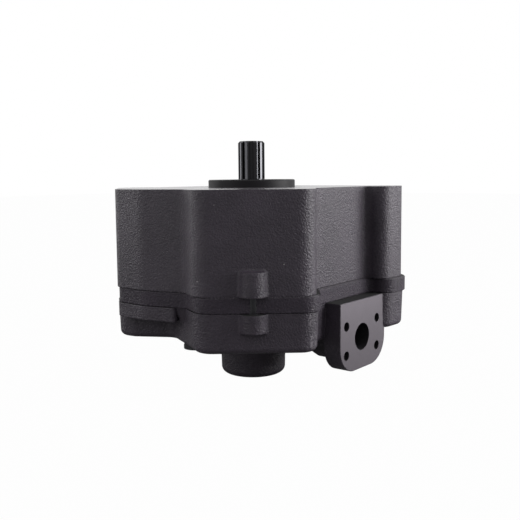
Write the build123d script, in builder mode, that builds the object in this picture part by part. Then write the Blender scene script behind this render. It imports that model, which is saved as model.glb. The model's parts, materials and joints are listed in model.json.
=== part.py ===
from build123d import *
import os
from math import sin, cos, tan, pi, radians, degrees, atan2, hypot

os.makedirs("parts", exist_ok=True)

# Hydraulic vane pump, millimetres. +Z runs along the shaft, out of the pump. z = 0 is the
# machined mounting face, x = y = 0 is the shaft axis, +X is the way the outlet pad faces.

# ---------------------------------------------------------------- driving dimensions
# mounting side (SAE J744 size A pilot)
pilot_dia = 82.55
pilot_height = 7.0
mount_bolt_spacing = 106.4
mount_bolt_drill = 8.5
mount_bolt_depth = 20.0
# heights of the three castings
housing_height = 86.5
plate_thickness = 14.0
cover_height = 33.7
cover_flange_thickness = 12.0
flange_root_height = 14.0
flange_root_draft = 16.0
wall_draft = 0.3
cover_draft = 1.6
cover_edge_radius = 5.0
# the castings don't line up perfectly: how far each one sits off the housing, and its growth
plate_shift = (2.0, 1.7)
plate_growth = 1.009
cover_shift = (0.9, 0.8)
cover_growth = 1.004
# round boss under the cover, for the rear bearing
tail_boss_dia = 64.0
tail_boss_length = 45.8
tail_boss_edge = 6.0
tail_boss_root = 3.0
# half-round dowel bosses on the front corner
dowel_boss_dia = 24.0
dowel_boss_pos = (73.4, -87.8)
upper_dowel_boss_height = 20.6
lower_dowel_boss_height = 16.0
dowel_dia = 10.0
dowel_length = 34.0
rear_dowel_pos = (-63.0, 62.0)
# edge finish: grooves along the plate's two joints, broken corners of the pads, cast blends,
# rim of the dowel bosses
joint_groove_height = 0.8
joint_groove_depth = 1.0
pad_edge_break = 0.6
cast_blend = 3.0
boss_rim = 1.2
# outlet pad, 1 inch four-bolt split flange
outlet_face_x = 109.6
outlet_y = 22.8
outlet_below_joint = 34.4
outlet_bore_dia = 24.8
outlet_bore_depth = 56.0
outlet_passage_dia = 20.0
outlet_passage_length = 26.0
outlet_rise_dia = 15.0
outlet_rise_pos = (33.0, 20.8)
outlet_bolts_y = 52.4
outlet_bolts_z = 26.2
port_bolt_drill_out = 8.5
port_bolt_depth_out = 17.0
pad_low_y = -13.6
pad_high_y = 64.0
pad_height = 63.9
pad_corner = 24.0
pad_inner_x = 92.8
neck_dia = 49.0
neck_inner_dia = 38.0
# inlet pad, 1 1/2 inch four-bolt split flange
inlet_face_x = -106.0
inlet_z = -52.0
inlet_bore_dia = 38.1
inlet_bore_depth = 20.0
inlet_bolts_y = 69.9
inlet_bolts_z = 35.7
port_bolt_drill_in = 10.2
port_bolt_depth_in = 19.0
inlet_passage_dia = 35.0
inlet_passage_length = 22.0
inlet_pad_width = 96.0
inlet_pad_height = 58.0
inlet_pad_corner = 18.0
inlet_pad_depth = 26.0
# cover bolts, M12 socket heads sunk in the cover
bolt_dia = 12.0
bolt_head_dia = 18.0
bolt_head_height = 12.0
bolt_length = 50.0
bolt_hole_dia = 13.0
bolt_sink_dia = 20.5
bolt_sink_depth = 14.0
bolt_thread_depth = 22.0
bolt_key_width = 10.0
bolt_key_depth = 6.0
bolt_places = [(46, -92), (88, -52), (94, 74), (48, 75), (-38, 77), (-72, 42), (-92, -58), (-55, -92)]
# shaft
shaft_top = 43.0
spline_teeth = 11
spline_dia = 25.4
spline_root_dia = 21.0
spline_bottom = 7.6
spline_phase = -50.2
journal_dia = 30.0
journal_top = 4.6
collar_dia = 36.0
seal_land_dia = 28.0
drive_spline_dia = 25.0
drive_spline_root = 21.4
drive_spline_teeth = 12
shaft_low_dia = 21.2
tail_journal_dia = 20.0
shaft_below_joint = 59.5
# front ball bearing, 30 x 62 x 16
bearing_outer_dia = 62.0
bearing_width = 16.0
bearing_top = 1.5
ball_dia = 9.525
ball_count = 9
race_shoulder = 3.2
race_clearance = 0.05
cage_wall = 2.8
cage_height = 8.4
cage_drop = 6.2
ring_groove_depth = 2.0
ring_groove_width = 2.0
retaining_ring_width = 4.0
bearing_ring_thickness = 1.9
shaft_ring_thickness = 1.5
shaft_groove_depth = 0.8
# shaft seal
seal_outer_dia = 47.0
seal_top = -16.5
seal_width = 8.0
seal_pocket_depth = 11.0
passage_dia = 32.0
# vane cartridge
cam_outer_dia = 108.0
cam_small_radius = 36.3
cam_large_radius = 41.3
cam_width = 34.0
rotor_dia = 72.0
side_clearance = 0.05
vane_count = 10
vane_thickness = 2.0
vane_slot_width = 2.1
vane_depth = 12.0
vane_phase = 9.0
side_plate_thickness = 12.0
side_plate_dia = 111.8
plate_bore_play = 0.2
chamber_wider = 24.2
chamber_top = -49.0
pressure_room_narrower = 15.8
pressure_room_height = 4.5
plate_spring_outer_dia = 68.0
plate_spring_inner_dia = 40.0
plate_spring_sheet = 1.6
plate_seal_drop = 4.4
suction_recess_depth = 6.0
pin_dia = 6.0
pin_inset = 5.5
pin_length = 46.0
# rear needle bearing, 20 x 28 x 20
needle_dia = 2.94
needle_count = 16
needle_length = 16.0
needle_pitch_dia = 23.0
shell_outer_dia = 28.0
shell_inner_dia = 26.0
shell_below_joint = 35.5
shell_length = 20.0
shaft_end_room = 8.0
# ring seals
ring_section = 2.6
outer_seal_inset = 6.25
gallery_seal_radius = 50.0
# discharge gallery in the cover
gallery_inner = 24.0
gallery_outer = 44.0
gallery_depth = 18.0
# relief valve
valve_pos = (8.0, -87.5)
valve_bore_dia = 12.0
valve_below_joint = 11.5
valve_seat_dia = 6.4
poppet_dia = 11.9
poppet_travel = 3.0
plug_thread_dia = 16.0
plug_collar_dia = 22.0
plug_head_height = 4.4
plug_washer = 1.2
plug_socket = 8.0
plug_socket_depth = 6.0
plug_thread_length = 10.5
valve_feed_radius = 61.0
valve_feed_dia = 4.0
valve_return_dia = 6.0

# ---------------------------------------------------------------- derived levels
plate_top = -housing_height
cover_top = plate_top - plate_thickness
cover_bottom = cover_top - cover_height
tail_bottom = cover_bottom - tail_boss_length
outlet_z = cover_top - outlet_below_joint
pad_bottom_z = cover_top - pad_height
shaft_bottom = cover_top - shaft_below_joint
shell_top = cover_top - shell_below_joint
valve_bore_top = cover_top - valve_below_joint
cam_top = plate_top + cam_width
side_plate_top = cam_top + side_plate_thickness
room_top = side_plate_top + pressure_room_height
bearing_bottom = bearing_top - bearing_width
bearing_mid = bearing_top - bearing_width / 2

# ---------------------------------------------------------------- derived sizes
ball_pitch_dia = (journal_dia + bearing_outer_dia) / 2
plate_bore_dia = side_plate_dia + plate_bore_play
chamber_dia = side_plate_dia + chamber_wider
pressure_room_dia = side_plate_dia - pressure_room_narrower
outer_seal_radius = chamber_dia / 2 + outer_seal_inset
pin_radius = cam_outer_dia / 2 - pin_inset
port_inner_radius = rotor_dia / 2 - 1.8
port_outer_radius = cam_large_radius - 0.7

# Outline of the castings at the parting plane: corner x, y and corner radius, anticlockwise.
outline = [
    (-56.5, -120.5, 13.0), (-24.0, -120.0, 30.0), (14.8, -107.8, 10.0), (40.6, -120.7, 18.0),
    (114.7, -56.4, 15.0), (93.3, -27.5, 8.0), (92.6, 56.0, 6.5),
    (113.0, 56.0, 13.0), (115.0, 89.0, 15.0), (87.0, 111.5, 16.0), (60.0, 93.0, 16.0),
    (-50.0, 93.0, 26.0), (-92.0, 51.0, 26.0), (-92.0, -30.0, 14.0), (-112.0, -42.0, 12.0),
    (-112.0, -70.0, 16.0),
]
# Cover wall below its flange: the same, but set back beside the front corner.
cover_outline = [
    (-68.0, -112.0, 16.0), (-52.0, -109.5, 14.0), (-20.5, -90.5, 10.0), (10.5, -105.0, 14.0),
] + outline[3:]
# Flange that shows beside the front corner, where the cover wall is set back.
flange_outline = outline[:2] + [
    (6.0, -110.4, 3.0), (-3.0, -96.0, 2.0), (-20.0, -80.0, 5.0), (-85.0, -60.0, 5.0), (-84.0, -30.0, 5.0),
    (-92.0, -30.0, 2.0),
] + outline[-2:]
cover_outline[-1] = (-108.0, -68.0, 16.0)
flange_root = [(3.6, -109.0), (15.6, -105.6), (25.0, -110.0), (16.0, -98.0), (-0.5, -95.0)]


# ---------------------------------------------------------------- helpers
def corner_points(before, corner, after):
    """Tangent points and middle point of the arc that rounds one corner."""
    x, y, radius = corner
    ax, ay = before[0] - x, before[1] - y
    bx, by = after[0] - x, after[1] - y
    la, lb = hypot(ax, ay), hypot(bx, by)
    ax, ay, bx, by = ax / la, ay / la, bx / lb, by / lb
    half = 0.5 * (pi - abs(atan2(ax * by - ay * bx, ax * bx + ay * by)))
    reach = radius * tan(half)
    mx, my = ax + bx, ay + by
    lm = hypot(mx, my)
    far = radius / cos(half) - radius
    start = (x + ax * reach, y + ay * reach)
    middle = (x + mx / lm * far, y + my / lm * far)
    end = (x + bx * reach, y + by * reach)
    return start, middle, end


def draw_rounded(corners, shift=(0.0, 0.0), growth=1.0):
    """Closed line of straight runs and corner arcs, drawn in the open BuildLine."""
    count = len(corners)
    arcs = [corner_points(corners[k - 1], corners[k], corners[(k + 1) % count]) for k in range(count)]
    moved = [[(px * growth + shift[0], py * growth + shift[1]) for px, py in arc] for arc in arcs]
    for k in range(count):
        ThreePointArc(*moved[k])
        Line(moved[k][2], moved[(k + 1) % count][0])


def polar(radius, angle):
    return (radius * cos(radians(angle)), radius * sin(radians(angle)))


def draw_sector(r_low, r_high, a_low, a_high):
    """Closed ring sector, drawn in the open BuildLine."""
    a_mid = (a_low + a_high) / 2
    ThreePointArc(polar(r_high, a_low), polar(r_high, a_mid), polar(r_high, a_high))
    Line(polar(r_high, a_high), polar(r_low, a_high))
    ThreePointArc(polar(r_low, a_high), polar(r_low, a_mid), polar(r_low, a_low))
    Line(polar(r_low, a_low), polar(r_high, a_low))


def groove_points(teeth, root_radius, outer_radius, k, phase, play=0.0):
    """Four corners of one spline groove; play makes the shape smaller for the mating tooth."""
    angle = phase + 360.0 * k / teeth
    pitch = 2 * pi * outer_radius / teeth
    wide = pitch * 0.30 - play
    narrow = pitch * 0.17 - play
    low = root_radius + play
    high = outer_radius + 1.0
    ca, sa = cos(radians(angle)), sin(radians(angle))
    shape = [(low, -narrow), (high, -wide), (high, wide), (low, narrow)]
    return [(u * ca - v * sa, u * sa + v * ca) for u, v in shape]


def cam_radius(angle):
    return cam_small_radius + (cam_large_radius - cam_small_radius) * (1 - cos(2 * radians(angle))) / 2


def draw_boss_profile(level, height, direction):
    """Half section of a dowel boss that stands on a joint plane, with a rounded far rim."""
    x0 = dowel_boss_pos[0]
    r = dowel_boss_dia / 2
    end = level + direction * height
    back = direction * boss_rim
    Polyline((x0, end), (x0, level), (x0 + r, level), (x0 + r - 0.5, end - back))
    ThreePointArc((x0 + r - 0.5, end - back), (x0 + r - 0.5 - 0.29 * boss_rim, end - 0.29 * back),
                  (x0 + r - 0.5 - boss_rim, end))
    Line((x0 + r - 0.5 - boss_rim, end), (x0, end))


def hole(x, y, z_open, diameter, depth, direction=-1):
    """Round cut along Z from z_open, downwards unless direction is 1."""
    with Locations((x, y, z_open + direction * depth / 2)):
        Cylinder(diameter / 2, depth, mode=Mode.SUBTRACT)


def cross_hole(x_open, y, z, diameter, depth, direction):
    """Round cut along X that starts at x_open and runs the way direction says."""
    with Locations((x_open + direction * depth / 2, y, z)):
        Cylinder(diameter / 2, depth, rotation=(0, 90, 0), mode=Mode.SUBTRACT)


def on_wall(edge):
    """Does the edge lie where a boss meets the casting wall, and not round the boss itself?"""
    dx = edge.center().X - dowel_boss_pos[0]
    dy = edge.center().Y - dowel_boss_pos[1]
    return edge.geom_type != GeomType.CIRCLE or hypot(dx, dy) > 0.6 * dowel_boss_dia


def blend_edges(new_edges, level):
    """Edges where a boss meets the wall: not its own circles, nor those on the joint plane."""
    return [e for e in new_edges if on_wall(e) and abs(e.center().Z - level) > 1.0]


def ring_groove(radius, z_open, direction):
    """Square groove for a ring seal, cut into a face at z_open the way direction says."""
    with BuildSketch(Plane.XY.offset(z_open)) as groove:
        Circle(radius + ring_section / 2 + 0.45)
        Circle(radius - ring_section / 2 - 0.45, mode=Mode.SUBTRACT)
    extrude(groove.sketch, amount=direction * ring_section, mode=Mode.SUBTRACT)


# Cored pockets in the lobes: inner and outer radius, first and last angle.
pocket_depth_up = 62.0
pocket_depth_down = 20.0
lobe_pockets = [(80.0, 99.0, -54.5, -41.0), (80.0, 108.0, -141.0, -129.0), (80.0, 104.0, 39.5, 50.0)]

# ---------------------------------------------------------------- castings
# Inlet pad, made on its own for the same reason.
with BuildPart() as inlet_pad:
    with BuildSketch(Plane.YZ.offset(inlet_face_x)):
        with Locations((0, inlet_z)):
            RectangleRounded(inlet_pad_width, inlet_pad_height, inlet_pad_corner)
    extrude(amount=inlet_pad_depth)
    chamfer(faces().sort_by(Axis.X)[0].edges(), pad_edge_break)

with BuildPart() as upper_housing:
    with BuildSketch(Plane.XY.offset(plate_top)):
        with BuildLine():
            draw_rounded(outline)
        make_face()
    extrude(amount=housing_height, taper=wall_draft)
    # pilot, with its small lead-in bevel
    with BuildSketch(Plane.XZ):
        with BuildLine():
            Polyline((0, -1), (pilot_dia / 2, -1), (pilot_dia / 2, pilot_height - 0.8),
                     (pilot_dia / 2 - 0.8, pilot_height), (0, pilot_height), close=True)
        make_face()
    revolve(axis=Axis.Z)
    # half-round dowel boss with a small rounded rim
    with BuildSketch(Plane.XZ.offset(-dowel_boss_pos[1])):
        with BuildLine():
            draw_boss_profile(plate_top, upper_dowel_boss_height, 1)
        make_face()
    revolve(axis=Axis((dowel_boss_pos[0], dowel_boss_pos[1], 0), (0, 0, 1)))
    fillet(blend_edges(edges(Select.NEW), plate_top), cast_blend)
    # inlet pad on the side away from the outlet
    add(inlet_pad.part)
    # bearing pocket, ring groove, seal pocket and shaft passage
    hole(0, 0, pilot_height, bearing_outer_dia, pilot_height - bearing_bottom)
    hole(0, 0, bearing_top + ring_groove_width, bearing_outer_dia + 2 * ring_groove_depth,
         ring_groove_width)
    hole(0, 0, bearing_bottom, seal_outer_dia, seal_pocket_depth)
    hole(0, 0, bearing_bottom - seal_pocket_depth, passage_dia,
         bearing_bottom - seal_pocket_depth - room_top)
    # pressure room, side plate bore and suction chamber
    hole(0, 0, room_top, pressure_room_dia, pressure_room_height)
    hole(0, 0, side_plate_top, plate_bore_dia, side_plate_top - chamber_top)
    hole(0, 0, chamber_top, chamber_dia, chamber_top - plate_top)
    # inlet port
    cross_hole(inlet_face_x, 0, inlet_z, inlet_bore_dia, inlet_bore_depth, 1)
    cross_hole(inlet_face_x + inlet_bore_depth, 0, inlet_z, inlet_passage_dia, inlet_passage_length, 1)
    for dy in (-inlet_bolts_y / 2, inlet_bolts_y / 2):
        for dz in (-inlet_bolts_z / 2, inlet_bolts_z / 2):
            cross_hole(inlet_face_x, dy, inlet_z + dz, port_bolt_drill_in, port_bolt_depth_in, 1)
    # tapped holes in the mounting face
    for dx in (-mount_bolt_spacing / 2, mount_bolt_spacing / 2):
        hole(dx, 0, 0, mount_bolt_drill, mount_bolt_depth)
    # tapped holes for the cover bolts, dowel holes, cored pockets in the lobes
    for bx, by in bolt_places:
        hole(bx, by, plate_top, bolt_dia, bolt_thread_depth, 1)
    for dx, dy in (dowel_boss_pos, rear_dowel_pos):
        hole(dx, dy, plate_top, dowel_dia, dowel_length / 2 - plate_thickness / 2 + 0.5, 1)
    for pocket in lobe_pockets:
        with BuildSketch(Plane.XY.offset(plate_top)):
            with BuildLine():
                draw_sector(*pocket)
            make_face()
        extrude(amount=pocket_depth_up, mode=Mode.SUBTRACT)
    ring_groove(outer_seal_radius, plate_top, 1)
upper_housing.part.label = "upper_housing"
export_step(upper_housing.part, "parts/upper_housing.step")

with BuildPart() as mid_plate:
    with BuildSketch(Plane.XY.offset(cover_top)):
        with BuildLine():
            draw_rounded(outline, plate_shift, plate_growth)
        make_face()
        offset(amount=-joint_groove_depth)
    extrude(amount=plate_thickness)
    with BuildSketch(Plane.XY.offset(cover_top + joint_groove_height)):
        with BuildLine():
            draw_rounded(outline, plate_shift, plate_growth)
        make_face()
    extrude(amount=plate_thickness - 2 * joint_groove_height)
    hole(0, 0, plate_top, shaft_low_dia + 0.8, plate_thickness)
    # two discharge kidneys right through, two suction recesses in the top
    for start in (105, 285):
        with BuildSketch(Plane.XY.offset(cover_top)):
            with BuildLine():
                draw_sector(port_inner_radius, port_outer_radius, start, start + 60)
            make_face()
        extrude(amount=plate_thickness, mode=Mode.SUBTRACT)
    for start in (20, 200):
        with BuildSketch(Plane.XY.offset(plate_top)):
            with BuildLine():
                draw_sector(port_inner_radius, chamber_dia / 2 - 2.0, start, start + 50)
            make_face()
        extrude(amount=-suction_recess_depth, mode=Mode.SUBTRACT)
    for bx, by in bolt_places:
        hole(bx, by, plate_top, bolt_hole_dia, plate_thickness)
    for dx, dy in (dowel_boss_pos, rear_dowel_pos):
        hole(dx, dy, plate_top, dowel_dia, plate_thickness)
    for angle in (0, 180):
        px, py = polar(pin_radius, angle)
        hole(px, py, plate_top, pin_dia + 0.1, 7.0)
    # return hole of the relief valve
    rx, ry = polar(valve_feed_radius, degrees(atan2(valve_pos[1], valve_pos[0])))
    hole(rx, ry, plate_top, valve_return_dia, plate_thickness)
mid_plate.part.label = "mid_plate"
export_step(mid_plate.part, "parts/mid_plate.step")

# Outlet pad, made on its own so that its face edge can be broken before it joins the cover.
pad_width = pad_high_y - pad_low_y
with BuildPart() as outlet_pad:
    with BuildSketch(Plane.YZ.offset(outlet_face_x)):
        with Locations((pad_low_y + pad_width / 2, pad_bottom_z + pad_height / 2)):
            RectangleRounded(pad_width, pad_height, pad_corner)
        with Locations((pad_low_y + pad_width / 2, cover_top - pad_height / 4)):
            Rectangle(pad_width, pad_height / 2)
    extrude(amount=pad_inner_x - outlet_face_x)
    chamfer(faces().sort_by(Axis.X)[-1].edges(), pad_edge_break)

with BuildPart() as lower_cover:
    with BuildSketch(Plane.XY.offset(cover_top)):
        with BuildLine():
            draw_rounded(cover_outline, cover_shift, cover_growth)
        make_face()
    extrude(amount=-cover_height, taper=cover_draft)
    fillet(faces().sort_by(Axis.Z)[0].outer_wire().edges(), cover_edge_radius)
    # flange that follows the housing's outline
    with BuildSketch(Plane.XY.offset(cover_top)):
        with BuildLine():
            draw_rounded(flange_outline, cover_shift, cover_growth)
        make_face()
    extrude(amount=-cover_flange_thickness)
    # sloped root between the end of that flange and the front corner
    with BuildSketch(Plane.XY.offset(cover_top)):
        with BuildLine():
            Polyline(*flange_root, close=True)
        make_face()
    extrude(amount=-flange_root_height, taper=flange_root_draft)
    # tail boss with rounded end
    with BuildSketch(Plane.XZ):
        with BuildLine():
            r = tail_boss_dia / 2
            e = tail_boss_edge
            root = tail_boss_root
            Polyline((0, tail_bottom), (0, cover_bottom + 2), (r + root, cover_bottom + 2),
                     (r + root, cover_bottom))
            ThreePointArc((r + root, cover_bottom), (r + 0.29 * root, cover_bottom - 0.29 * root),
                          (r, cover_bottom - root))
            Line((r, cover_bottom - root), (r - 0.9, tail_bottom + e))
            ThreePointArc((r - 0.9, tail_bottom + e), (r - 0.9 - 0.29 * e, tail_bottom + 0.29 * e),
                          (r - 0.9 - e, tail_bottom))
            Line((r - 0.9 - e, tail_bottom), (0, tail_bottom))
        make_face()
    revolve(axis=Axis.Z)
    # lower dowel boss
    with BuildSketch(Plane.XZ.offset(-dowel_boss_pos[1])):
        with BuildLine():
            draw_boss_profile(cover_top, lower_dowel_boss_height, -1)
        make_face()
    revolve(axis=Axis((dowel_boss_pos[0], dowel_boss_pos[1], 0), (0, 0, 1)))
    fillet(blend_edges(edges(Select.NEW), cover_top), cast_blend)
    # outlet pad with its two large bottom corners
    add(outlet_pad.part)
    # neck round the outlet passage, from the pad to the tail boss
    with BuildSketch(Plane.XY.offset(outlet_z)):
        with BuildLine():
            Polyline((18, outlet_y), (18, outlet_y - neck_inner_dia / 2),
                     (54, outlet_y - neck_inner_dia / 2),
                     (69, outlet_y - neck_dia / 2), (pad_inner_x + 2, outlet_y - neck_dia / 2),
                     (pad_inner_x + 2, outlet_y), close=True)
        make_face()
    revolve(axis=Axis((0, outlet_y, outlet_z), (1, 0, 0)))
    # rear bearing bore and discharge gallery
    hole(0, 0, cover_top, shell_outer_dia, cover_top - shell_top + shell_length + shaft_end_room)
    with BuildSketch(Plane.XY.offset(cover_top)):
        Circle(gallery_outer)
        Circle(gallery_inner, mode=Mode.SUBTRACT)
    extrude(amount=-gallery_depth, mode=Mode.SUBTRACT)
    # outlet port, then the narrower passage and its rise into the gallery
    cross_hole(outlet_face_x, outlet_y, outlet_z, outlet_bore_dia, outlet_bore_depth, -1)
    cross_hole(outlet_face_x - outlet_bore_depth, outlet_y, outlet_z, outlet_passage_dia,
               outlet_passage_length, -1)
    hole(*outlet_rise_pos, cover_top - gallery_depth + 3, outlet_rise_dia, 20)
    for dy in (-outlet_bolts_y / 2, outlet_bolts_y / 2):
        for dz in (-outlet_bolts_z / 2, outlet_bolts_z / 2):
            cross_hole(outlet_face_x, outlet_y + dy, outlet_z + dz, port_bolt_drill_out,
                       port_bolt_depth_out, -1)
    # bolt holes with sunk seats, dowel holes, cored pockets
    for bx, by in bolt_places:
        hole(bx, by, cover_top, bolt_hole_dia, cover_height)
        hole(bx, by, cover_bottom, bolt_sink_dia, bolt_sink_depth, 1)
        hole(bx, by, cover_bottom, bolt_sink_dia, tail_boss_length, -1)
    for dx, dy in (dowel_boss_pos, rear_dowel_pos):
        hole(dx, dy, cover_top, dowel_dia, dowel_length / 2 - plate_thickness / 2 + 0.5)
    for pocket in lobe_pockets:
        with BuildSketch(Plane.XY.offset(cover_top)):
            with BuildLine():
                draw_sector(*pocket)
            make_face()
        extrude(amount=-pocket_depth_down, mode=Mode.SUBTRACT)
    ring_groove(outer_seal_radius, cover_top, -1)
    ring_groove(gallery_seal_radius, cover_top, -1)
    # relief valve bore, seat, feed from the gallery and return to the suction side
    hole(valve_pos[0], valve_pos[1], cover_bottom, plug_thread_dia, plug_thread_length, 1)
    hole(valve_pos[0], valve_pos[1], cover_bottom, valve_bore_dia, valve_bore_top - cover_bottom, 1)
    hole(valve_pos[0], valve_pos[1], valve_bore_top, valve_seat_dia, 5.5, 1)
    away = degrees(atan2(valve_pos[1], valve_pos[0]))
    for far, level, near in ((40.0, cover_top - 7.5, 88.0),
                             (valve_feed_radius, valve_bore_top - 2.2, 84.0)):
        px, py = polar((far + near) / 2, away)
        with Locations(Location((px, py, level), (0, 0, away))):
            Cylinder(valve_feed_dia / 2, near - far, rotation=(0, 90, 0), mode=Mode.SUBTRACT)
    rx, ry = polar(valve_feed_radius, away)
    hole(rx, ry, cover_top, valve_return_dia, 14.0)
lower_cover.part.label = "lower_cover"
export_step(lower_cover.part, "parts/lower_cover.step")

# ---------------------------------------------------------------- shaft
with BuildPart() as drive_shaft:
    with BuildSketch(Plane.XZ):
        with BuildLine():
            rs = spline_dia / 2
            rj = journal_dia / 2
            Polyline((0, shaft_top), (rs - 1.6, shaft_top), (rs, shaft_top - 1.6), (rs, journal_top),
                     (rj - 0.6, journal_top), (rj, journal_top - 0.6), (rj, bearing_top + 1.6),
                     (rj - shaft_groove_depth, bearing_top + 1.6), (rj - shaft_groove_depth, bearing_top),
                     (rj, bearing_top),
                     (rj, bearing_bottom), (collar_dia / 2, bearing_bottom),
                     (collar_dia / 2, bearing_bottom - 1.5), (seal_land_dia / 2, bearing_bottom - 1.5),
                     (seal_land_dia / 2, -27), (drive_spline_dia / 2, -28.5),
                     (drive_spline_dia / 2, plate_top + 0.9),
                     (shaft_low_dia / 2, plate_top + 0.3), (shaft_low_dia / 2, shell_top + 1.5),
                     (tail_journal_dia / 2, shell_top + 1.0), (tail_journal_dia / 2, shaft_bottom + 1),
                     (tail_journal_dia / 2 - 1, shaft_bottom), (0, shaft_bottom), close=True)
        make_face()
    revolve(axis=Axis.Z)
    # outer spline, and the inner one that carries the rotor
    for k in range(spline_teeth):
        with BuildSketch(Plane.XY.offset(spline_bottom)):
            with BuildLine():
                Polyline(*groove_points(spline_teeth, spline_root_dia / 2, spline_dia / 2, k, spline_phase),
                         close=True)
            make_face()
        extrude(amount=shaft_top - spline_bottom + 1, mode=Mode.SUBTRACT)
    for k in range(drive_spline_teeth):
        with BuildSketch(Plane.XY.offset(plate_top - 1)):
            with BuildLine():
                Polyline(*groove_points(drive_spline_teeth, drive_spline_root / 2,
                         drive_spline_dia / 2, k, 0),
                         close=True)
            make_face()
        extrude(amount=cam_width + 2.5, mode=Mode.SUBTRACT)
drive_shaft.part.label = "drive_shaft"
export_step(drive_shaft.part, "parts/drive_shaft.step")

# ---------------------------------------------------------------- front bearing and seal
outer_race_radius = ball_pitch_dia / 2 + race_shoulder
inner_race_radius = ball_pitch_dia / 2 - race_shoulder
with BuildPart() as front_bearing_outer:
    with BuildSketch(Plane.XZ):
        with Locations(((bearing_outer_dia / 2 + outer_race_radius) / 2, bearing_mid)):
            Rectangle(bearing_outer_dia / 2 - outer_race_radius, bearing_width)
        with Locations((ball_pitch_dia / 2, bearing_mid)):
            Circle(ball_dia / 2 + race_clearance, mode=Mode.SUBTRACT)
    revolve(axis=Axis.Z)
front_bearing_outer.part.label = "front_bearing_outer"
export_step(front_bearing_outer.part, "parts/front_bearing_outer.step")

with BuildPart() as front_bearing_inner:
    with BuildSketch(Plane.XZ):
        with Locations(((journal_dia / 2 + inner_race_radius) / 2, bearing_mid)):
            Rectangle(inner_race_radius - journal_dia / 2, bearing_width)
        with Locations((ball_pitch_dia / 2, bearing_mid)):
            Circle(ball_dia / 2 + race_clearance, mode=Mode.SUBTRACT)
    revolve(axis=Axis.Z)
front_bearing_inner.part.label = "front_bearing_inner"
export_step(front_bearing_inner.part, "parts/front_bearing_inner.step")

with BuildPart() as front_bearing_balls:
    with Locations((0, 0, bearing_mid)):
        with PolarLocations(ball_pitch_dia / 2, ball_count):
            Sphere(ball_dia / 2)
front_bearing_balls.part.label = "front_bearing_balls"
export_step(front_bearing_balls.part, "parts/front_bearing_balls.step")

with BuildPart() as front_bearing_cage:
    with BuildSketch(Plane.XY.offset(bearing_mid - cage_drop)):
        Circle(ball_pitch_dia / 2 + cage_wall / 2)
        Circle(ball_pitch_dia / 2 - cage_wall / 2, mode=Mode.SUBTRACT)
    extrude(amount=cage_height)
    with Locations((0, 0, bearing_mid)):
        with PolarLocations(ball_pitch_dia / 2, ball_count):
            Sphere(ball_dia / 2 + 0.1, mode=Mode.SUBTRACT)
front_bearing_cage.part.label = "front_bearing_cage"
export_step(front_bearing_cage.part, "parts/front_bearing_cage.step")


def draw_ring_with_gap(r_in, r_out, gap_angle, gap_width):
    """Flat retaining ring with an open gap, drawn in the open BuildSketch."""
    Circle(r_out)
    Circle(r_in, mode=Mode.SUBTRACT)
    px, py = polar((r_in + r_out) / 2, gap_angle)
    with Locations(Location((px, py, 0), (0, 0, gap_angle))):
        Rectangle(4 * (r_out - r_in), gap_width, mode=Mode.SUBTRACT)


with BuildPart() as bearing_retaining_ring:
    with BuildSketch(Plane.XY.offset(bearing_top)):
        ring_outer = bearing_outer_dia / 2 + ring_groove_depth - 0.2
        draw_ring_with_gap(ring_outer - retaining_ring_width, ring_outer, 90, 3 * retaining_ring_width)
    extrude(amount=bearing_ring_thickness)
bearing_retaining_ring.part.label = "bearing_retaining_ring"
export_step(bearing_retaining_ring.part, "parts/bearing_retaining_ring.step")

with BuildPart() as shaft_retaining_ring:
    with BuildSketch(Plane.XY.offset(bearing_top)):
        draw_ring_with_gap(journal_dia / 2 - shaft_groove_depth, journal_dia / 2 + 3.0, -90, 7)
    extrude(amount=shaft_ring_thickness)
shaft_retaining_ring.part.label = "shaft_retaining_ring"
export_step(shaft_retaining_ring.part, "parts/shaft_retaining_ring.step")

with BuildPart() as shaft_seal:
    with BuildSketch(Plane.XZ):
        with BuildLine():
            ro = seal_outer_dia / 2
            ri = seal_land_dia / 2
            Polyline((ro, seal_top - seal_width), (ro, seal_top), (ri + 1.6, seal_top),
                     (ri + 0.9, seal_top - 1.2),
                     (ri + 0.04, seal_top - 5.0), (ri + 0.9, seal_top - 7.0), (ri + 2.6, seal_top - 7.0),
                     (ri + 2.2, seal_top - 2.2), (ro - 2.4, seal_top - 2.2),
                     (ro - 2.4, seal_top - seal_width),
                     close=True)
        make_face()
    revolve(axis=Axis.Z)
shaft_seal.part.label = "shaft_seal"
export_step(shaft_seal.part, "parts/shaft_seal.step")

with BuildPart() as shaft_seal_spring:
    with BuildSketch(Plane.XZ):
        with Locations((seal_land_dia / 2 + 3.3, seal_top - 5.6)):
            Circle(0.8)
    revolve(axis=Axis.Z)
shaft_seal_spring.part.label = "shaft_seal_spring"
export_step(shaft_seal_spring.part, "parts/shaft_seal_spring.step")

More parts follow.
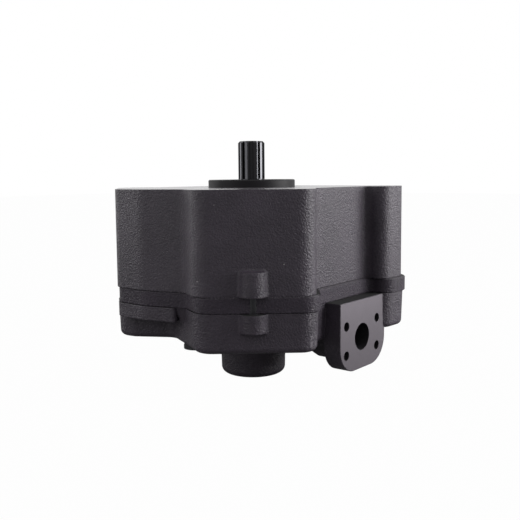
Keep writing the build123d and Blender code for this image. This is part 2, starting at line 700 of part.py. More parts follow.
# ---------------------------------------------------------------- vane cartridge
with BuildPart() as pressure_plate:
    with BuildSketch(Plane.XY.offset(cam_top)):
        Circle(side_plate_dia / 2)
        Circle(drive_spline_dia / 2 + 0.1, mode=Mode.SUBTRACT)
    extrude(amount=side_plate_thickness)
    with BuildSketch(Plane.XZ):
        with Locations((side_plate_dia / 2, side_plate_top - plate_seal_drop)):
            Rectangle(2 * (ring_section + 0.1), ring_section + 0.9)
    revolve(axis=Axis.Z, mode=Mode.SUBTRACT)
    for start in (20, 200):
        with BuildSketch(Plane.XY.offset(cam_top)):
            with BuildLine():
                draw_sector(port_inner_radius, side_plate_dia / 2 + 4.0, start, start + 50)
            make_face()
        extrude(amount=5, mode=Mode.SUBTRACT)
    for start in (105, 285):
        with BuildSketch(Plane.XY.offset(cam_top)):
            with BuildLine():
                draw_sector(port_inner_radius, port_outer_radius, start, start + 60)
            make_face()
        extrude(amount=3, mode=Mode.SUBTRACT)
        hx, hy = polar((port_inner_radius + port_outer_radius) / 2, start + 30)
        hole(hx, hy, side_plate_top, 5.0, side_plate_thickness)
    for angle in (0, 180):
        px, py = polar(pin_radius, angle)
        hole(px, py, cam_top, pin_dia + 0.1, 6.0, 1)
pressure_plate.part.label = "pressure_plate"
export_step(pressure_plate.part, "parts/pressure_plate.step")

with BuildPart() as pressure_plate_spring:
    with BuildSketch(Plane.XZ):
        with BuildLine():
            rim = plate_spring_outer_dia / 2
            eye = plate_spring_inner_dia / 2
            sheet = plate_spring_sheet
            Polyline((rim, side_plate_top), (rim, side_plate_top + sheet), (eye, room_top),
                     (eye, room_top - sheet),
                     (rim - 2.5, side_plate_top + 0.3), (rim - 2.5, side_plate_top), close=True)
        make_face()
    revolve(axis=Axis.Z)
pressure_plate_spring.part.label = "pressure_plate_spring"
export_step(pressure_plate_spring.part, "parts/pressure_plate_spring.step")

with BuildPart() as cam_ring:
    with BuildSketch(Plane.XY.offset(plate_top)):
        Circle(cam_outer_dia / 2)
        with BuildLine():
            Spline(*[polar(cam_radius(a), a) for a in range(0, 360, 10)], periodic=True)
        make_face(mode=Mode.SUBTRACT)
    extrude(amount=cam_width)
    for angle in (0, 180):
        px, py = polar(pin_radius, angle)
        hole(px, py, cam_top, pin_dia + 0.1, cam_width)
cam_ring.part.label = "cam_ring"
export_step(cam_ring.part, "parts/cam_ring.step")

with BuildPart() as rotor:
    with BuildSketch(Plane.XY.offset(plate_top + side_clearance)):
        Circle(rotor_dia / 2)
        Circle(drive_spline_dia / 2 + 0.1, mode=Mode.SUBTRACT)
        for k in range(drive_spline_teeth):
            with BuildLine():
                Polyline(*groove_points(drive_spline_teeth, drive_spline_root / 2,
                         drive_spline_dia / 2, k, 0, 0.1),
                         close=True)
            make_face()
        for k in range(vane_count):
            angle = vane_phase + 360.0 * k / vane_count
            mid = rotor_dia / 2 - vane_depth / 2 + 1.0
            with Locations(Location((*polar(mid, angle), 0), (0, 0, angle))):
                Rectangle(vane_depth + 3.0, vane_slot_width, mode=Mode.SUBTRACT)
            with Locations(polar(rotor_dia / 2 - vane_depth - 1.2, angle)):
                Circle(1.8, mode=Mode.SUBTRACT)
    extrude(amount=cam_width - 2 * side_clearance)
rotor.part.label = "rotor"
export_step(rotor.part, "parts/rotor.step")

for k in range(vane_count):
    angle = vane_phase + 360.0 * k / vane_count
    with BuildPart() as vane:
        with BuildSketch(Plane.XY.offset(plate_top + side_clearance)):
            mid = rotor_dia / 2 - 0.05 - vane_depth / 2
            with Locations(Location((*polar(mid, angle), 0), (0, 0, angle))):
                RectangleRounded(vane_depth, vane_thickness, 0.7)
        extrude(amount=cam_width - 2 * side_clearance)
    vane_name = "vane_%02d" % (k + 1)
    vane.part.label = vane_name
    export_step(vane.part, "parts/" + vane_name + ".step")

with BuildPart() as cartridge_pins:
    for angle in (0, 180):
        px, py = polar(pin_radius, angle)
        with Locations((px, py, cam_top + 5.5 - pin_length / 2)):
            Cylinder(pin_dia / 2, pin_length)
cartridge_pins.part.label = "cartridge_pins"
export_step(cartridge_pins.part, "parts/cartridge_pins.step")

# ---------------------------------------------------------------- rear bearing
with BuildPart() as rear_bearing_shell:
    with BuildSketch(Plane.XZ):
        ro = shell_outer_dia / 2
        ri = shell_inner_dia / 2
        low = shell_top - shell_length
        with BuildLine():
            Polyline((ro, shell_top), (ro, low), (ro - 2.4, low), (ro - 2.4, low + 1.0), (ri, low + 1.0),
                     (ri, shell_top - 1.0), (ro - 2.4, shell_top - 1.0), (ro - 2.4, shell_top), close=True)
        make_face()
    revolve(axis=Axis.Z)
rear_bearing_shell.part.label = "rear_bearing_shell"
export_step(rear_bearing_shell.part, "parts/rear_bearing_shell.step")

needle_mid = shell_top - shell_length / 2
with BuildPart() as rear_bearing_needles:
    with Locations((0, 0, needle_mid)):
        with PolarLocations(needle_pitch_dia / 2, needle_count):
            Cylinder(needle_dia / 2, needle_length)
rear_bearing_needles.part.label = "rear_bearing_needles"
export_step(rear_bearing_needles.part, "parts/rear_bearing_needles.step")

with BuildPart() as rear_bearing_cage:
    with BuildSketch(Plane.XY.offset(shell_top - shell_length + 1.1)):
        Circle(needle_pitch_dia / 2 + 0.7)
        Circle(needle_pitch_dia / 2 - 0.7, mode=Mode.SUBTRACT)
    extrude(amount=shell_length - 2.2)
    with Locations((0, 0, needle_mid)):
        with PolarLocations(needle_pitch_dia / 2, needle_count):
            Cylinder(needle_dia / 2 + 0.08, needle_length + 0.2, mode=Mode.SUBTRACT)
rear_bearing_cage.part.label = "rear_bearing_cage"
export_step(rear_bearing_cage.part, "parts/rear_bearing_cage.step")

# ---------------------------------------------------------------- ring seals
ring_seals = [
    ("pressure_plate_seal", plate_bore_dia / 2 - ring_section / 2, side_plate_top - plate_seal_drop),
    ("upper_face_seal", outer_seal_radius, plate_top + ring_section / 2),
    ("lower_face_seal", outer_seal_radius, cover_top - ring_section / 2),
    ("gallery_seal", gallery_seal_radius, cover_top - ring_section / 2),
]
for ring_name, ring_radius, ring_z in ring_seals:
    with BuildPart() as ring_seal:
        with BuildSketch(Plane.XZ):
            with Locations((ring_radius, ring_z)):
                Circle(ring_section / 2)
        revolve(axis=Axis.Z)
    ring_seal.part.label = ring_name
    export_step(ring_seal.part, "parts/" + ring_name + ".step")

# ---------------------------------------------------------------- fasteners
with BuildPart() as casing_dowels:
    for dx, dy in (dowel_boss_pos, rear_dowel_pos):
        with BuildSketch(Plane.XY.offset((plate_top + cover_top - dowel_length) / 2)):
            with Locations((dx, dy)):
                Circle(dowel_dia / 2)
        extrude(amount=dowel_length)
casing_dowels.part.label = "casing_dowels"
export_step(casing_dowels.part, "parts/casing_dowels.step")

bolt_seat = cover_bottom + bolt_sink_depth
with BuildPart() as cover_bolts:
    for bx, by in bolt_places:
        with BuildSketch(Plane.XY.offset(bolt_seat - bolt_head_height)):
            with Locations((bx, by)):
                Circle(bolt_head_dia / 2)
        extrude(amount=bolt_head_height)
        with BuildSketch(Plane.XY.offset(bolt_seat)):
            with Locations((bx, by)):
                Circle(bolt_dia / 2)
        extrude(amount=bolt_length)
        with BuildSketch(Plane.XY.offset(bolt_seat - bolt_head_height)):
            with Locations((bx, by)):
                RegularPolygon(bolt_key_width / 2, 6, major_radius=False)
        extrude(amount=bolt_key_depth, mode=Mode.SUBTRACT)
cover_bolts.part.label = "cover_bolts"
export_step(cover_bolts.part, "parts/cover_bolts.step")

# ---------------------------------------------------------------- relief valve
vx, vy = valve_pos
poppet_low = valve_bore_top - 9.0
poppet_roof = valve_bore_top - 4.0
poppet_nose = valve_bore_top + 1.4
poppet_shoulder = valve_bore_top - 3.2
with BuildPart() as relief_poppet:
    with BuildSketch(Plane.XZ.offset(-vy)):
        with BuildLine():
            rp = poppet_dia / 2
            Polyline((vx, poppet_nose), (vx + 1.7, poppet_nose), (vx + rp, poppet_shoulder),
                     (vx + rp, poppet_low),
                     (vx + 4.3, poppet_low), (vx + 4.3, poppet_roof), (vx, poppet_roof), close=True)
        make_face()
    revolve(axis=Axis((vx, vy, 0), (0, 0, 1)))
relief_poppet.part.label = "relief_poppet"
export_step(relief_poppet.part, "parts/relief_poppet.step")

plug_top = cover_bottom + 7.2
spring_wire = 1.0
with BuildPart() as relief_spring:
    with BuildLine(Plane(origin=(vx, vy, plug_top + spring_wire / 2))):
        Helix(pitch=(poppet_roof - plug_top - spring_wire) / 5,
              height=poppet_roof - plug_top - spring_wire, radius=3.4)
    with BuildSketch(Plane(origin=(vx + 3.4, vy, plug_top + spring_wire / 2), x_dir=(1, 0, 0),
                     z_dir=(0, 1, 0))):
        Circle(spring_wire / 2)
    sweep(is_frenet=True)
relief_spring.part.label = "relief_spring"
export_step(relief_spring.part, "parts/relief_spring.step")

with BuildPart() as relief_plug:
    with BuildSketch(Plane.XY.offset(cover_bottom - plug_head_height)):
        with Locations(valve_pos):
            Circle(plug_collar_dia / 2)
    extrude(amount=plug_head_height - plug_washer)
    with BuildSketch(Plane.XY.offset(cover_bottom - plug_washer)):
        with Locations(valve_pos):
            Circle(plug_thread_dia / 2)
    extrude(amount=plug_top - cover_bottom + plug_washer)
    with BuildSketch(Plane.XY.offset(cover_bottom - plug_head_height)):
        with Locations(valve_pos):
            RegularPolygon(plug_socket / 2, 6, major_radius=False)
    extrude(amount=plug_socket_depth, mode=Mode.SUBTRACT)
relief_plug.part.label = "relief_plug"
export_step(relief_plug.part, "parts/relief_plug.step")

with BuildPart() as relief_plug_seal:
    with BuildSketch(Plane.XY.offset(cover_bottom - plug_washer)):
        with Locations(valve_pos):
            Circle(plug_collar_dia / 2 - 0.4)
            Circle(plug_thread_dia / 2, mode=Mode.SUBTRACT)
    extrude(amount=plug_washer)
relief_plug_seal.part.label = "relief_plug_seal"
export_step(relief_plug_seal.part, "parts/relief_plug_seal.step")
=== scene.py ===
# %% [markdown]
# # A hydraulic vane pump in a small studio
# The solid pieces of the pump come from the CAD part, each already in its true place and size.
# This script gives every piece its finish, adds the fine detail that the solids leave out, and sets
# up a camera, a floor and soft lamps. All lengths are metres. The shaft axis is x = y = 0, +Z runs
# out along the shaft, z = 0 is the machined mounting face and +X is the way the outlet port faces.

# %% Load the solid pieces
import math
import bmesh
import bpy
from mathutils import Matrix, Vector
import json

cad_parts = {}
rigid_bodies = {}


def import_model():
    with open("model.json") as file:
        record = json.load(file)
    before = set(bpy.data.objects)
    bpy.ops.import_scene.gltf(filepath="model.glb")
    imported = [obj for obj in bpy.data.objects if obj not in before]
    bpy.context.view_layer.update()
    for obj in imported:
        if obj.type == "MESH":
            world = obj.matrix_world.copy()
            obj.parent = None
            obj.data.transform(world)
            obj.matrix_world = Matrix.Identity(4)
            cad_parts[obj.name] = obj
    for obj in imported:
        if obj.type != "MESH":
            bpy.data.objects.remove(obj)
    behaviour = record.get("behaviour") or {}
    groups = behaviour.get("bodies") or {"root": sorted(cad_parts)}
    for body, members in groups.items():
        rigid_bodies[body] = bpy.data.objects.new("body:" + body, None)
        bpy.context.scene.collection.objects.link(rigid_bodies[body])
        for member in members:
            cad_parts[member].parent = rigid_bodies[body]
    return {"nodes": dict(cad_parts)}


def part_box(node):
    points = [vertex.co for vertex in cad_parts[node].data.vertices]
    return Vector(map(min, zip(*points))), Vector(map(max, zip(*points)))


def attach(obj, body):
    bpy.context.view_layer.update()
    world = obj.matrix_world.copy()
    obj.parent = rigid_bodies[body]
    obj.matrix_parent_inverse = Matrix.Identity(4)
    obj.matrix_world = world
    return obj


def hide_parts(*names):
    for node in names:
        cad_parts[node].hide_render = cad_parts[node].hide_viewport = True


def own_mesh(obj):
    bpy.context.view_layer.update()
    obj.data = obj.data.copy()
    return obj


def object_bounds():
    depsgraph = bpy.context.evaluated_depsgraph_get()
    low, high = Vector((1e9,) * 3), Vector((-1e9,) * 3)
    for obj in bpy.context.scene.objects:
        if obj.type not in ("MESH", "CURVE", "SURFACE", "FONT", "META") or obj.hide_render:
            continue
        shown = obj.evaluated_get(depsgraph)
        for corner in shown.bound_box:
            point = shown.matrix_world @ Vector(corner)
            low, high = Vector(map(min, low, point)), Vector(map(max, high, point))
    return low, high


for leftover in list(bpy.data.objects):
    bpy.data.objects.remove(leftover)
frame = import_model()
cad_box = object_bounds()
nodes = frame["nodes"]
print("pieces loaded:", len(nodes))
print("box of the solids:", [round(v, 4) for corner in cad_box for v in corner])

# %% [markdown]
# ## A helper for shader nodes
# A finish is a small graph of shader nodes. Nodes could be placed by hand in the editor; building
# them with one short helper keeps each finish readable as a recipe. A value goes straight onto the
# socket, and another node's output is linked to it.

# %% The node helper


def add_node(tree, kind, settings=None, **inputs):
    """Add one node; settings are its options, inputs its sockets by name."""
    node = tree.nodes.new(kind)
    for option, value in (settings or {}).items():
        setattr(node, option, value)
    for name, value in inputs.items():
        socket = node.inputs[name.replace("_", " ")]
        if isinstance(value, bpy.types.NodeSocket):
            tree.links.new(value, socket)
        else:
            socket.default_value = value
    return node


def new_finish(name, **shader_inputs):
    """A material with a Principled shader, and its node tree."""
    material = bpy.data.materials.new(name)
    material.use_nodes = True
    tree = material.node_tree
    tree.nodes.clear()
    shader = add_node(tree, "ShaderNodeBsdfPrincipled", **shader_inputs)
    output = add_node(tree, "ShaderNodeOutputMaterial")
    tree.links.new(shader.outputs["BSDF"], output.inputs["Surface"])
    return material, tree, shader


def blend_colours(tree, factor, low, high):
    """Mix two colours by a factor from another node; low may itself come from a node."""
    mix = add_node(tree, "ShaderNodeMix", {"data_type": "RGBA"})
    tree.links.new(factor, mix.inputs[0])
    if isinstance(low, bpy.types.NodeSocket):
        tree.links.new(low, mix.inputs[6])
    else:
        mix.inputs[6].default_value = (*low, 1.0)
    mix.inputs[7].default_value = (*high, 1.0)
    return mix.outputs[2]


def work_out(tree, operation, *values, kind="ShaderNodeMath"):
    """One sum of numbers, or of directions with kind ShaderNodeVectorMath."""
    node = add_node(tree, kind, {"operation": operation})
    for socket, value in zip(node.inputs, values):
        if isinstance(value, bpy.types.NodeSocket):
            tree.links.new(value, socket)
        else:
            socket.default_value = value
    return node.outputs["Value"]


def spread(tree, value, low, high, to_low, to_high):
    """Stretch a value from one range to another, held inside the second."""
    node = add_node(tree, "ShaderNodeMapRange", Value=value, From_Min=low, From_Max=high,
                    To_Min=to_low, To_Max=to_high)
    return node.outputs[0]


def noise(tree, place, scale, detail=3.0, roughness=0.55):
    """Soft random pattern; scale is in lumps for each metre."""
    node = add_node(tree, "ShaderNodeTexNoise", Vector=place, Scale=scale, Detail=detail,
                    Roughness=roughness)
    return node.outputs["Fac"]


# %% [markdown]
# ## The black cast iron
# The three castings were poured in sand and given a thin coat of satin black. Up close the skin
# is like orange peel: grains a millimetre or two across, over slow swells of several millimetres.
# Sculpting that over the whole casing would need millions of faces, so two layers of bump carry it,
# while the real outline stays geometry. Finer speckle varies the colour and the gloss, and a few pale
# nicks lie scattered over the skin. A Bevel node rounds the shading of cast edges, and those same
# edges get a lighter, greyer colour: partly wear where hands and tools rub the coat thin, partly a
# painted highlight along the edges.

# %% Cast finish
cast_dark = (0.0315, 0.0258, 0.0350)
cast_light = (0.0500, 0.0405, 0.0545)
# Lighter colour for cast edges: edge wear and a painted highlight.
edge_wear_and_highlight = (0.115, 0.104, 0.120)
cast_nick = (0.30, 0.28, 0.29)
grain_size = 0.0015
speckle_size = 0.0008
swell_size = 0.0040
patch_size = 0.035
nick_spacing = 0.014
speckle_contrast = 2.4
nick_rarity = 0.72
nick_radius = 0.045
edge_turn_start, edge_turn_full = 0.99, 0.80
cast_roughness = (0.53, 0.37)


def cast_finish(name, shade=1.0, shine=0.42, grain_height=0.0009, swell_height=0.0003,
                edge_radius=0.0010):
    """Coated cast iron; shade darkens the colour as painted shade, and shine is the strength of its
    gloss.
    """
    material, tree, shader = new_finish(name, Specular_IOR_Level=shine)
    place = add_node(tree, "ShaderNodeTexCoord").outputs["Object"]
    patches = noise(tree, place, 1.0 / patch_size, 4.0)
    grain = noise(tree, place, 1.0 / grain_size, 2.0)
    swell = noise(tree, place, 1.0 / swell_size, 2.0)
    speckle = noise(tree, place, 1.0 / speckle_size, 1.0)
    pattern = work_out(tree, "MULTIPLY_ADD", speckle, speckle_contrast,
                       spread(tree, patches, 0.3, 0.7, -1.1, -0.3))
    colour = blend_colours(tree, pattern, [shade * c for c in cast_dark],
                           [shade * c for c in cast_light])
    cells = add_node(tree, "ShaderNodeTexVoronoi", Vector=place, Scale=1.0 / nick_spacing)
    lot = add_node(tree, "ShaderNodeSeparateXYZ", Vector=cells.outputs["Color"]).outputs["X"]
    nick = work_out(tree, "MULTIPLY",
                    spread(tree, cells.outputs["Distance"], nick_radius, nick_radius - 0.02, 0.0, 1.0),
                    spread(tree, lot, nick_rarity, nick_rarity + 0.02, 0.0, 1.0))
    nicked = blend_colours(tree, nick, colour, cast_nick)
    bevel = add_node(tree, "ShaderNodeBevel", {"samples": 6}, Radius=edge_radius).outputs[0]
    flat = add_node(tree, "ShaderNodeNewGeometry").outputs["Normal"]
    turn = work_out(tree, "DOT_PRODUCT", bevel, flat, kind="ShaderNodeVectorMath")
    # Edge mask from the Bevel node: the lighter edge colour is part wear, part painted highlight.
    worn_and_highlit_edges = work_out(tree, "MULTIPLY",
                    spread(tree, turn, edge_turn_start, edge_turn_full, 0.0, 1.0),
                    spread(tree, grain, 0.45, 0.65, 0.0, 1.0))
    tree.links.new(blend_colours(tree, worn_and_highlit_edges, nicked, edge_wear_and_highlight), shader.inputs["Base Color"])
    tree.links.new(spread(tree, speckle, 0.3, 0.7, *cast_roughness), shader.inputs["Roughness"])
    slow = add_node(tree, "ShaderNodeBump", Height=swell, Strength=1.0, Distance=swell_height,
                    Normal=bevel)
    fine = add_node(tree, "ShaderNodeBump", Height=grain, Strength=1.0, Distance=grain_height,
                    Normal=slow.outputs[0])
    tree.links.new(fine.outputs[0], shader.inputs["Normal"])
    return material


casting_black = cast_finish("casting_black_skin")
# The plate and the cover are darker copies of the same cast finish: painted shade on the lower part of
# the casing.
plate_painted_shade = cast_finish("plate_skin_painted_shade", shade=0.86, shine=0.20)
cover_painted_shade = cast_finish("cover_skin_painted_shade", shade=0.95, shine=0.38)
print("cast finishes:", casting_black.name, plate_painted_shade.name, cover_painted_shade.name)

# %% [markdown]
# ## Machined iron
# The mounting face, the pilot, the port pads and the bores were cut after the casting had its
# coat, and then oiled black. A cutter leaves fine marks: straight passes on the pads, circles on
# turned faces. One finish serves both: a wave pattern that is either straight or round, kept so
# shallow that it only breaks the shine.

# %% Machined finish
cloud_size = 1.0 / 45.0
fleck_size = 1.0 / 900.0
fleck_contrast = 0.35
waves_to_metres = 0.31


def machined_finish(name, dark, light, roughness, mark_size, rings=None, metal=0.75,
                    mark_height=0.000004, shine=0.5):
    """Cut metal. rings is the axis letter for turned marks; None gives straight marks."""
    material, tree, shader = new_finish(name, Metallic=metal, Specular_IOR_Level=shine)
    place = add_node(tree, "ShaderNodeTexCoord").outputs["Object"]
    patches = noise(tree, place, 1.0 / cloud_size, 6.0)
    flecks = noise(tree, place, 1.0 / fleck_size, 2.0)
    settings = {"wave_type": "RINGS", "rings_direction": rings} if rings else {"wave_type": "BANDS"}
    marks = add_node(tree, "ShaderNodeTexWave", settings, Vector=place,
                     Scale=waves_to_metres / mark_size, Distortion=1.5, Detail=2.0, Detail_Scale=2.0)
    factor = work_out(tree, "MULTIPLY_ADD", flecks, fleck_contrast,
                      spread(tree, patches, 0.3, 0.7, 0.25, 0.45))
    tree.links.new(blend_colours(tree, factor, dark, light), shader.inputs["Base Color"])
    tree.links.new(spread(tree, patches, 0.3, 0.7, roughness + 0.02, roughness - 0.02),
                   shader.inputs["Roughness"])
    bump = add_node(tree, "ShaderNodeBump", Height=marks.outputs["Fac"], Strength=1.0,
                    Distance=mark_height)
    tree.links.new(bump.outputs[0], shader.inputs["Normal"])
    return material


pad_iron = machined_finish("pad_iron", (0.115, 0.103, 0.118), (0.200, 0.182, 0.203), 0.40, 0.0009)
top_iron = machined_finish("mounting_face_iron", (0.12, 0.111, 0.124), (0.19, 0.178, 0.194), 0.21,
                           0.0011, "Z", metal=0.6, mark_height=0.0000015)
pilot_iron = machined_finish("pilot_iron", (0.008, 0.0074, 0.0086), (0.016, 0.0148, 0.0172), 0.50,
                             0.0006, "Z", metal=0.0, mark_height=0.000002, shine=0.18)
bore_iron = machined_finish("bore_iron", (0.035, 0.033, 0.037), (0.075, 0.070, 0.078), 0.38, 0.0007)
print("machined finishes:", [m.name for m in (pad_iron, top_iron, pilot_iron, bore_iron)])

# %% [markdown]
# ## Steel, resin and rubber
# The shaft is hardened steel blackened in a hot salt bath, so it is dark but still glossy. The
# bearing rings are ground bright, the screws are black oxide, and the seals are matt rubber. Each
# is the machined recipe with its own colours, or a plain coloured shader with slight unevenness.
# The joint finish is painted shade for the faces between the castings. They are in shadow in their
# narrow grooves, and a near-black colour paints that shade, so the joint lines stay as crisp as on the
# real pump.

# %% The other finishes
shaft_black = machined_finish("shaft_black", (0.050, 0.050, 0.054), (0.085, 0.085, 0.092), 0.12,
                              0.0006, "Z", metal=0.95, mark_height=0.0000004)
ground_steel = machined_finish("ground_steel", (0.42, 0.42, 0.43), (0.58, 0.58, 0.59), 0.22,
                               0.0003, "Z", metal=1.0)
ball_steel = machined_finish("ball_steel", (0.60, 0.60, 0.62), (0.70, 0.70, 0.72), 0.12,
                             0.0004, "Z", metal=1.0)
screw_black = machined_finish("screw_black", (0.040, 0.040, 0.044), (0.09, 0.09, 0.096), 0.33,
                              0.0005, "Z", metal=0.9)
spring_steel = machined_finish("spring_steel", (0.10, 0.10, 0.11), (0.19, 0.19, 0.20), 0.30,
                               0.0004, "Z", metal=0.95)


soft_height = 0.00003


def soft_finish(name, dark, light, roughness, grain=700.0):
    """Rubber or resin, and the painted shade of the joints: a matt colour, slightly uneven."""
    material, tree, shader = new_finish(name, Specular_IOR_Level=0.45)
    place = add_node(tree, "ShaderNodeTexCoord").outputs["Object"]
    speckle = noise(tree, place, grain, 3.0)
    tree.links.new(blend_colours(tree, speckle, dark, light), shader.inputs["Base Color"])
    tree.links.new(spread(tree, speckle, 0.3, 0.7, roughness + 0.08, roughness - 0.05),
                   shader.inputs["Roughness"])
    bump = add_node(tree, "ShaderNodeBump", Height=speckle, Strength=1.0, Distance=soft_height)
    tree.links.new(bump.outputs[0], shader.inputs["Normal"])
    return material


seal_black = soft_finish("seal_black", (0.012, 0.012, 0.013), (0.028, 0.028, 0.029), 0.55)
# Near-black painted shade for the faces between the castings.
joint_painted_shade = soft_finish("joint_painted_shade", (0.0035, 0.0034, 0.0036), (0.009, 0.0088, 0.0092), 0.7)
cage_brown = soft_finish("cage_resin", (0.16, 0.10, 0.05), (0.24, 0.16, 0.09), 0.45)
print("soft finishes:", seal_black.name, joint_painted_shade.name, cage_brown.name)

# %% [markdown]
# ## Each piece gets its finish
# The CAD file groups pieces by what they are made of, in named slots. Walking through those slots
# dresses all the inner pieces at once, so nothing is left plain if the pump is opened up.

# %% Dress the pieces
finish_of_slot = {
    "casting_black": casting_black, "shaft_steel": shaft_black, "bearing_steel": ground_steel,
    "rolling_steel": ball_steel, "cage_resin": cage_brown, "ring_steel": spring_steel,
    "seal_rubber": seal_black, "cartridge_steel": ground_steel, "side_plate_iron": pad_iron,
    "fastener_steel": screw_black, "washer_steel": screw_black,
}
for piece in nodes.values():
    slot_name = piece.data.materials[0].name.split(".")[0]
    piece.data.materials[0] = finish_of_slot[slot_name]
# The darker plate and cover finishes paint shade on the lower castings.
nodes["mid_plate"].data.materials[0] = plate_painted_shade
nodes["lower_cover"].data.materials[0] = cover_painted_shade
print("finishes used:", sorted({o.data.materials[0].name for o in nodes.values()}))

# %% [markdown]
# ## Machined zones on the castings
# A casting is one solid with two kinds of skin, so some of its faces take a second material. The
# cut faces are found by where they lie and which way they look, which is how a machinist would
# name them: the face at z = 0, the pilot above it, the pad faces, and the walls of each bore.

# %% Find the machined faces
mounting_z = 0.0
pilot_radius = 0.0413
outlet_face = 0.1096
outlet_centre = (0.0228, -0.1349)
inlet_face = -0.106
inlet_centre = (0.0, -0.052)
joint_z = -0.1005
near = 0.0002
facing = 0.9
bearing_bore_radius = 0.0335
seal_face_limit = 0.5
inlet_bore_end = -0.06
outlet_bore_end = 0.02
inlet_radius, inlet_hole_radius = 0.0206, 0.0066
outlet_radius, outlet_hole_radius = 0.0140, 0.0056
inlet_spread = (0.0699, 0.0357)
outlet_spread = (0.0524, 0.0262)
joint_face_start = 0.03


def give_faces(piece, finish, test):
    """Give a second finish to the faces that pass the test; test takes a centre and a normal."""
    piece.data.materials.append(finish)
    index = len(piece.data.materials) - 1
    count = 0
    for face in piece.data.polygons:
        if test(face.center, face.normal):
            face.material_index = index
            count += 1
    print(piece.name, "-", count, "faces of", finish.name)


def off_axis(centre, y, z):
    """Distance of a face from a line along X."""
    return math.hypot(centre.y - y, centre.z - z)


def in_pattern(centre, middle, spread_y, spread_z, radius):
    """Is the face on the wall of one of four holes round a port?"""
    dy = abs(abs(centre.y - middle[0]) - spread_y / 2)
    dz = abs(abs(centre.z - middle[1]) - spread_z / 2)
    return math.hypot(dy, dz) < radius


housing = nodes["upper_housing"]
cover = nodes["lower_cover"]
give_faces(housing, top_iron, lambda c, n: abs(c.z - mounting_z) < near and n.z > facing)
give_faces(housing, pilot_iron, lambda c, n: c.z > near and c.xy.length < pilot_radius + near)
give_faces(housing, pad_iron, lambda c, n: abs(c.x - inlet_face) < near and n.x < -facing)
give_faces(housing, bore_iron, lambda c, n: c.z < -near and c.xy.length < bearing_bore_radius
           and n.z < seal_face_limit)
give_faces(housing, bore_iron, lambda c, n: c.x < inlet_bore_end and abs(n.x) < facing and (
    off_axis(c, *inlet_centre) < inlet_radius
    or in_pattern(c, inlet_centre, *inlet_spread, inlet_hole_radius)))
# Painted shade on the joint faces of the plate and the cover.
give_faces(nodes["mid_plate"], joint_painted_shade, lambda c, n: n.z > facing
           and max(abs(c.x), abs(c.y)) > joint_face_start)
give_faces(cover, joint_painted_shade, lambda c, n: abs(c.z - joint_z) < near and n.z > facing)
give_faces(cover, pad_iron, lambda c, n: abs(c.x - outlet_face) < near and n.x > facing)
give_faces(cover, bore_iron, lambda c, n: c.x > outlet_bore_end and abs(n.x) < facing and (
    off_axis(c, *outlet_centre) < outlet_radius
    or in_pattern(c, outlet_centre, *outlet_spread, outlet_hole_radius)))

# %% [markdown]
# ## The spring of the relief valve
# The spring sits on the valve's plug and shortens by three millimetres when the valve opens. Here the
# spring is made again as a coil of the same size. The coil is a row of small rings of points along a
# helix, joined by four-sided faces and closed at both ends.

# %% Valve spring
upward = Vector((0.0, 0.0, 1.0))
wire_radius = 0.0005
spring_turns = 5
steps_per_turn = 40
steps_round_wire = 12
spring_low, spring_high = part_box("relief_spring")
valve_line = (spring_low + spring_high) / 2
coil_radius = (spring_high.x - spring_low.x) / 2 - wire_radius
spring_length = spring_high.z - spring_low.z
coil_steps = spring_turns * steps_per_turn
middle_rise = spring_length - 2 * wire_radius
coil = bmesh.new()
rings = []
for step in range(coil_steps + 1):
    turn = step / steps_per_turn * 2 * math.pi
    outward = Vector((math.cos(turn), math.sin(turn), 0.0))
    level = spring_low.z + wire_radius + middle_rise * step / coil_steps
    at = Vector((valve_line.x, valve_line.y, level)) + outward * coil_radius
    ring = []
    for part in range(steps_round_wire):
        angle = part / steps_round_wire * 2 * math.pi
        ring.append(coil.verts.new(
            at + wire_radius * (math.cos(angle) * outward + math.sin(angle) * upward)))
    rings.append(ring)
for before, after in zip(rings, rings[1:]):
    for part in range(steps_round_wire):
        following = (part + 1) % steps_round_wire
        coil.faces.new((before[part], before[following], after[following], after[part]))
coil.faces.new(rings[0])
coil.faces.new(rings[-1])
bmesh.ops.recalc_face_normals(coil, faces=coil.faces)
for face in coil.faces:
    face.smooth = len(face.verts) == 4
coil_mesh = bpy.data.meshes.new("relief_valve_spring")
coil.to_mesh(coil_mesh)
coil.free()
valve_spring = bpy.data.objects.new("relief_valve_spring", coil_mesh)
bpy.context.scene.collection.objects.link(valve_spring)
coil_mesh.materials.append(spring_steel)
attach(valve_spring, "casing")
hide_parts("relief_spring")
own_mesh(valve_spring)
print(f"valve spring: {spring_length * 1000:.1f} mm long, coil radius {coil_radius * 1000:.2f} mm")

# %% [markdown]
# ## Camera
# A camera is a place and three directions. Writing the directions out as axes, and not as angles,
# lets a small tilt of the picture be added without upsetting the rest. The lens is a moderate
# wide one, a little under 50 mm on a full-size sensor.

# %% Camera
right_flat = Vector((0.775, 0.632, 0.0)).normalized()
ahead_flat = Vector((-0.632, 0.775, 0.0)).normalized()
pitch = math.radians(6.92)
roll = 0.009
cam_right = (math.cos(roll) * right_flat - math.sin(roll) * math.cos(pitch) * upward
             - math.sin(roll) * math.sin(pitch) * ahead_flat)
cam_up = (math.sin(roll) * right_flat + math.cos(roll) * math.cos(pitch) * upward
          + math.cos(roll) * math.sin(pitch) * ahead_flat)
cam_back = cam_right.cross(cam_up)
camera_data = bpy.data.cameras.new("studio_camera")
camera_data.sensor_width = 36.0
camera_data.lens = 48.46
camera_data.clip_start = 0.01
camera_data.clip_end = 50.0
camera = bpy.data.objects.new("studio_camera", camera_data)
bpy.context.scene.collection.objects.link(camera)
camera_place = Vector((0.4317, -0.5178, 0.0112))
axes = Matrix((cam_right, cam_up, cam_back)).transposed().to_4x4()
camera.matrix_world = Matrix.Translation(camera_place) @ axes
bpy.context.scene.camera = camera
print("camera looks along", [round(v, 3) for v in -cam_back])

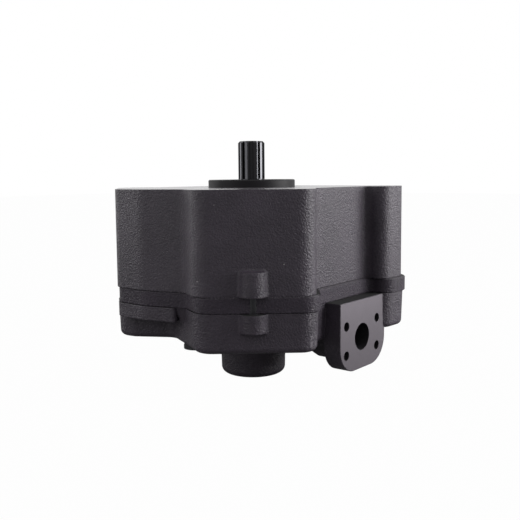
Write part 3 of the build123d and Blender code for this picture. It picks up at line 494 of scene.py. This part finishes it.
# %% [markdown]
# ## Floor, surroundings and lamps
# The pump stands on a broad white floor under soft light, as in a product shot. The floor and the
# surroundings look white to the camera, but the light they give the pump is modest, so the black
# coat still looks black. In reflections the surroundings are bright behind the pump and darker
# in front of it, and the floor is nearly black. Three large soft lamps, two on the left and one
# strong one on the right, draw the long shines down the side walls.

# %% Floor
floor_level = cad_box[0].z
floor_gap = 0.0002
floor_width = 12.0
floor_shade = (0.12, 0.12, 0.12)
white_to_camera = 0.985
white_in_reflections = 0.05
bpy.ops.mesh.primitive_plane_add(size=floor_width, location=(0.0, 0.0, floor_level - floor_gap))
floor = bpy.context.object
floor.name = "studio_floor"
floor_material = bpy.data.materials.new("studio_white")
floor_material.use_nodes = True
tree = floor_material.node_tree
tree.nodes.clear()
paper = add_node(tree, "ShaderNodeBsdfDiffuse", Color=(*floor_shade, 1.0))
glow = add_node(tree, "ShaderNodeEmission", Color=(1.0, 1.0, 1.0, 1.0), Strength=1.0)
ray = add_node(tree, "ShaderNodeLightPath")
to_camera = spread(tree, ray.outputs["Is Camera Ray"], 0.0, 1.0, 0.0, white_to_camera)
to_shine = spread(tree, ray.outputs["Is Glossy Ray"], 0.0, 1.0, 0.0, white_in_reflections)
share = work_out(tree, "MAXIMUM", to_camera, to_shine)
mixed = add_node(tree, "ShaderNodeMixShader", Fac=share)
tree.links.new(paper.outputs[0], mixed.inputs[1])
tree.links.new(glow.outputs[0], mixed.inputs[2])
tree.links.new(mixed.outputs[0], add_node(tree, "ShaderNodeOutputMaterial").inputs["Surface"])
floor.data.materials.append(floor_material)
print("floor at height", round(floor_level - floor_gap, 4))

# %% Surroundings
world = bpy.data.worlds.new("studio_world")
bpy.context.scene.world = world
world.use_nodes = True
tree = world.node_tree
tree.nodes.clear()
light_above = 0.80
light_below = 0.02
shine_front = 0.20
direction = add_node(tree, "ShaderNodeTexCoord").outputs["Generated"]
towards_back = work_out(tree, "DOT_PRODUCT", direction, ahead_flat, kind="ShaderNodeVectorMath")
shine = spread(tree, towards_back, -0.1, 0.5, shine_front, 1.0)
height = add_node(tree, "ShaderNodeSeparateXYZ", Vector=direction).outputs["Z"]
soft_light = spread(tree, height, -0.3, 0.7, light_below, light_above)
ray = add_node(tree, "ShaderNodeLightPath")
shiny = add_node(tree, "ShaderNodeMix", {"data_type": "FLOAT"})
tree.links.new(ray.outputs["Is Glossy Ray"], shiny.inputs[0])
tree.links.new(soft_light, shiny.inputs[2])
tree.links.new(shine, shiny.inputs[3])
seen = work_out(tree, "MAXIMUM", ray.outputs["Is Camera Ray"], ray.outputs["Is Transmission Ray"])
strength = work_out(tree, "MAXIMUM", seen, shiny.outputs[0])
sky = add_node(tree, "ShaderNodeBackground", Color=(1.0, 1.0, 1.0, 1.0), Strength=strength)
tree.links.new(sky.outputs[0], add_node(tree, "ShaderNodeOutputWorld").inputs["Surface"])

# %% Lamps
middle = Vector((0.0, 0.0, -0.07))


def soft_lamp(name, aside, ahead, above, width, height, power):
    """A large soft lamp, placed from the camera's point of view and turned to the pump."""
    data = bpy.data.lights.new(name, "AREA")
    data.shape = "RECTANGLE"
    data.size = width
    data.size_y = height
    data.energy = power
    lamp = bpy.data.objects.new(name, data)
    bpy.context.scene.collection.objects.link(lamp)
    lamp.location = middle + aside * right_flat + ahead * ahead_flat + above * upward
    lamp.rotation_euler = (middle - lamp.location).to_track_quat("-Z", "Y").to_euler()
    lamp.visible_camera = False
    print(name, "at", [round(v, 2) for v in lamp.location])


# name, then metres aside, ahead and above, then width and height in metres, then watts
soft_lamp("lamp_left", -0.92, -0.62, 0.35, 0.9, 0.9, 3.6)
soft_lamp("lamp_left_back", -1.0, 0.38, 0.35, 0.4, 1.0, 3.4)
soft_lamp("lamp_right", 1.1, -0.10, 0.35, 0.8, 0.9, 20.0)

# %% [markdown]
# ## Look settings
# The Standard view transform shows colours as they are written.

# %% Finish
bpy.context.scene.view_settings.view_transform = "Standard"
import json
